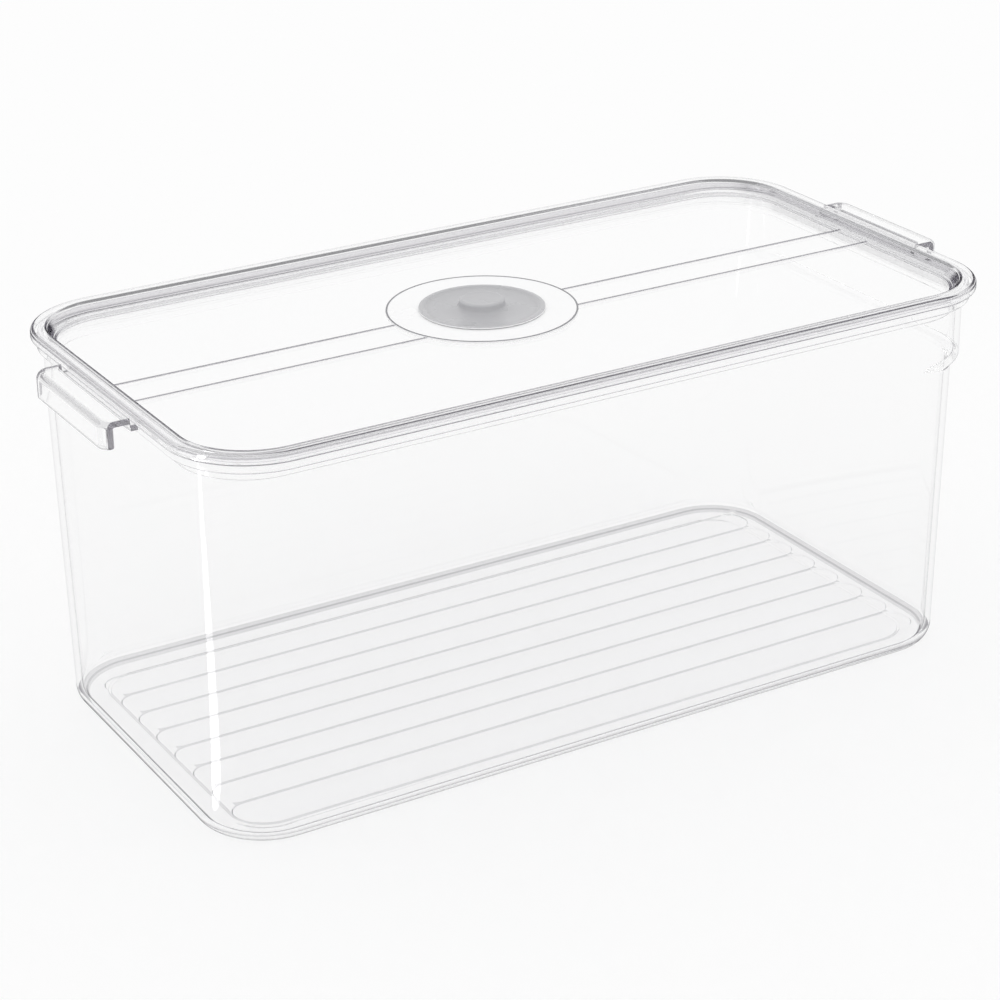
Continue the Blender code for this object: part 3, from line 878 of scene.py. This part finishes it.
def soft_grey(name, low_color, high_color, scale, low, high, ripple, subsurface):
    """Soft grey rubber: its colour drifts faintly, and a little light passes under its surface."""
    material, nodes, links = new_material(name)
    out = nodes.new("ShaderNodeOutputMaterial")
    shader = nodes.new("ShaderNodeBsdfPrincipled")
    shader.inputs["IOR"].default_value = 1.42
    shader.inputs["Subsurface Weight"].default_value = subsurface
    shader.inputs["Subsurface Radius"].default_value = (1.0, 1.0, 1.0)
    shader.inputs["Subsurface Scale"].default_value = 0.0015
    add_surface(nodes, links, shader, scale, low, high, ripple)
    place = nodes.new("ShaderNodeTexCoord")
    drift = nodes.new("ShaderNodeTexNoise")
    drift.inputs["Scale"].default_value = scale * 0.5
    drift.inputs["Detail"].default_value = 1.0
    ramp = nodes.new("ShaderNodeValToRGB")
    ramp.color_ramp.elements[0].position = 0.3
    ramp.color_ramp.elements[0].color = (*low_color, 1)
    ramp.color_ramp.elements[1].position = 0.7
    ramp.color_ramp.elements[1].color = (*high_color, 1)
    links.new(place.outputs["Object"], drift.inputs["Vector"])
    links.new(drift.outputs["Fac"], ramp.inputs["Fac"])
    links.new(ramp.outputs["Color"], shader.inputs["Base Color"])
    links.new(shader.outputs["BSDF"], out.inputs["Surface"])
    return material


def paint_light_and_shade(material, share, color):
    """Blends another colour into a finish, by a share from 0 to 1; here it paints a highlight on the vent's
    lip and a shade line round the seat.
    """
    nodes, links = material.node_tree.nodes, material.node_tree.links
    shader = next(node for node in nodes if node.type == "BSDF_PRINCIPLED")
    base = shader.inputs["Base Color"].links[0].from_socket
    painted_light_mix = nodes.new("ShaderNodeMix")
    painted_light_mix.data_type = "RGBA"
    painted_light_mix.inputs["B"].default_value = (*color, 1)
    links.new(share, painted_light_mix.inputs["Factor"])
    links.new(base, painted_light_mix.inputs["A"])
    links.new(painted_light_mix.outputs["Result"], shader.inputs["Base Color"])


def vent_radius(nodes, links, place):
    """How far a place lies from the vent's axis."""
    middle = nodes.new("ShaderNodeVectorMath")
    middle.operation = "MULTIPLY_ADD"
    middle.inputs[1].default_value = (1, 1, 0)
    middle.inputs[2].default_value = (-vent_middle[0], -vent_middle[1], 0)
    links.new(place, middle.inputs[0])
    radius = nodes.new("ShaderNodeVectorMath")
    radius.operation = "LENGTH"
    links.new(middle.outputs["Vector"], radius.inputs[0])
    return radius.outputs["Value"]


def vent_plastic(name, low_color, high_color, lip_highlight_color):
    """Soft grey plastic with a painted highlight: its thin outer lip, on its upright face, is painted nearly
    white.
    """
    material = soft_grey(name, low_color, high_color, 30.0, 0.24, 0.32, 0.02, 0.3)
    nodes, links = material.node_tree.nodes, material.node_tree.links
    maths = Maths(nodes, links)
    place = nodes.new("ShaderNodeTexCoord")
    height = maths.along(place.outputs["Object"], (0, 0, 1))
    facing = maths.along(place.outputs["Normal"], (0, 0, 1))
    # Painted highlight: the lip's upright face is painted nearly white
    lip = maths.times(maths.above(height, lip_bottom - 0.0001), maths.below(height, lip_top + 0.0002),
                      maths.above(vent_radius(nodes, links, place.outputs["Object"]), well_radius),
                      maths.step(facing, (0.55, 0.75), 1.0, 0.0))
    paint_light_and_shade(material, lip, lip_highlight_color)
    return material


def milky_plastic(name, color, line_shade_color):
    """White, slightly see-through plastic; the fine raised line round the seat is painted grey, a painted
    shade line.
    """
    material = soft_grey(name, [value - 0.02 for value in color], color, 40.0, 0.20, 0.30, 0.02, 0.2)
    nodes, links = material.node_tree.nodes, material.node_tree.links
    maths = Maths(nodes, links)
    place = nodes.new("ShaderNodeTexCoord").outputs["Object"]
    # Painted shade: the fine raised line round the seat is painted grey
    start = boss_radius - seat_line_width
    line = maths.times(maths.step(vent_radius(nodes, links, place), (start - hair, start + 2 * hair)),
                       maths.above(maths.along(place, (0, 0, 1)), boss_top))
    paint_light_and_shade(material, line, line_shade_color)
    return material


# Studio

def make_floor():
    """Wide white table; it shows as near white and keeps the shadow of what stands on it."""
    mesh = bpy.data.meshes.new("table")
    half = 4.0
    corners = [(-half, -half, 0), (half, -half, 0), (half, half, 0), (-half, half, 0)]
    mesh.from_pydata(corners, [], [(0, 1, 2, 3)])
    floor = bpy.data.objects.new("table", mesh)
    bpy.context.scene.collection.objects.link(floor)
    material, nodes, links = new_material("table_white")
    out = nodes.new("ShaderNodeOutputMaterial")
    paint = nodes.new("ShaderNodeBsdfDiffuse")
    paint.inputs["Color"].default_value = (table_white, table_white, table_white, 1)
    glow = nodes.new("ShaderNodeEmission")
    path = nodes.new("ShaderNodeLightPath")
    maths = Maths(nodes, links)
    seen = maths.most(path.outputs["Is Camera Ray"], path.outputs["Is Glossy Ray"],
                      path.outputs["Is Transmission Ray"])
    white = blend(nodes, links, maths.times(seen, table_glow), paint.outputs["BSDF"],
                  glow.outputs["Emission"])
    links.new(white, out.inputs["Surface"])
    mesh.materials.append(material)


def make_world():
    """White all round."""
    world = bpy.data.worlds.new("studio")
    bpy.context.scene.world = world
    world.use_nodes = True
    nodes, links = world.node_tree.nodes, world.node_tree.links
    nodes.clear()
    out = nodes.new("ShaderNodeOutputWorld")
    white = nodes.new("ShaderNodeBackground")
    white.inputs["Color"].default_value = (world_white, world_white, world_white, 1)
    links.new(white.outputs["Background"], out.inputs["Surface"])


def make_strip():
    """A long lamp that lies on the table and faces up; the bin's upright corner mirrors it as a stripe."""
    data = bpy.data.lights.new("strip", "AREA")
    data.shape = "ELLIPSE"
    data.size, data.size_y = strip_length, strip_width
    data.energy = strip_power
    lamp = bpy.data.objects.new("strip", data)
    lamp.matrix_world = (Matrix.Translation(strip_middle) @ Matrix.Rotation(strip_turn, 4, "Z")
                         @ Matrix.Rotation(math.pi, 4, "X"))
    lamp.visible_camera = lamp.visible_diffuse = lamp.visible_transmission = False
    lamp.visible_volume_scatter = False
    bpy.context.scene.collection.objects.link(lamp)


def make_camera():
    """Long lens at the photograph's angle; the tilt is the photograph's own small roll."""
    azimuth, elevation, roll = math.radians(30.68), math.radians(23.98), math.radians(-0.66)
    focal_pixels = 2758.8
    picture = 1000
    centre_u, centre_v = 513.7, 499.2
    level = Vector((math.sin(azimuth), math.cos(azimuth), 0))
    forward = level * math.cos(elevation) - Vector((0, 0, math.sin(elevation)))
    right = Vector((math.cos(azimuth), -math.sin(azimuth), 0))
    up = right.cross(forward)
    turned_right = right * math.cos(roll) + up * math.sin(roll)
    turned_up = up * math.cos(roll) - right * math.sin(roll)
    data = bpy.data.cameras.new("camera")
    data.sensor_width = 36.0
    data.lens = focal_pixels / picture * data.sensor_width
    data.shift_x = (picture / 2 - centre_u) / picture
    data.shift_y = (centre_v - picture / 2) / picture
    data.clip_end = 50.0
    camera = bpy.data.objects.new("camera", data)
    axes = Matrix((turned_right, turned_up, -forward)).transposed()
    camera.matrix_world = Matrix.Translation(camera_place) @ axes.to_4x4()
    bpy.context.scene.collection.objects.link(camera)
    bpy.context.scene.camera = camera


bpy.context.scene.view_settings.view_transform = "Standard"
moulded = moulded_surface_group()
narrow_round = narrow_round_group()
clear_white = (0.9955, 0.9955, 0.9965)
# The clear plastics' grey edge colours and their shares are painted shade on the narrow rounds and outlines
tub_clear = clear_plastic("tub_plastic", clear_white, painted_edge_shade, 0.75, 0.0, 0.02, thin_walls=True)
lid_clear = clear_plastic("lid_plastic", clear_white, painted_edge_shade, 0.85, 0.0, 0.02,
                          top_height=panel_top - 0.0002)
gasket_clear = clear_plastic("clear_silicone", (0.985, 0.98, 0.99), (0.90, 0.89, 0.93), 0.2, 0.02, 0.06, 1.15)
# Painted shade: the seat's fine raised line is painted grey
seat_white = milky_plastic("milky_plastic", (0.975, 0.975, 0.98), (0.22, 0.22, 0.235))
# Painted highlight: the vent cap's lip is painted nearly white
cap_grey = vent_plastic("vent_grey", (0.485, 0.485, 0.50), (0.515, 0.515, 0.53), (0.93, 0.93, 0.935))
seal_grey = soft_grey("seal_grey", (0.36, 0.36, 0.38), (0.44, 0.44, 0.46), 80.0, 0.35, 0.5, 0.1, 0.3)
make_tub(tub_clear)
make_lid(lid_clear)
make_seat(seat_white)
make_gasket(gasket_clear)
make_cap(cap_grey)
make_vent_seal(seal_grey)
make_camera()
make_floor()
make_world()
make_strip()
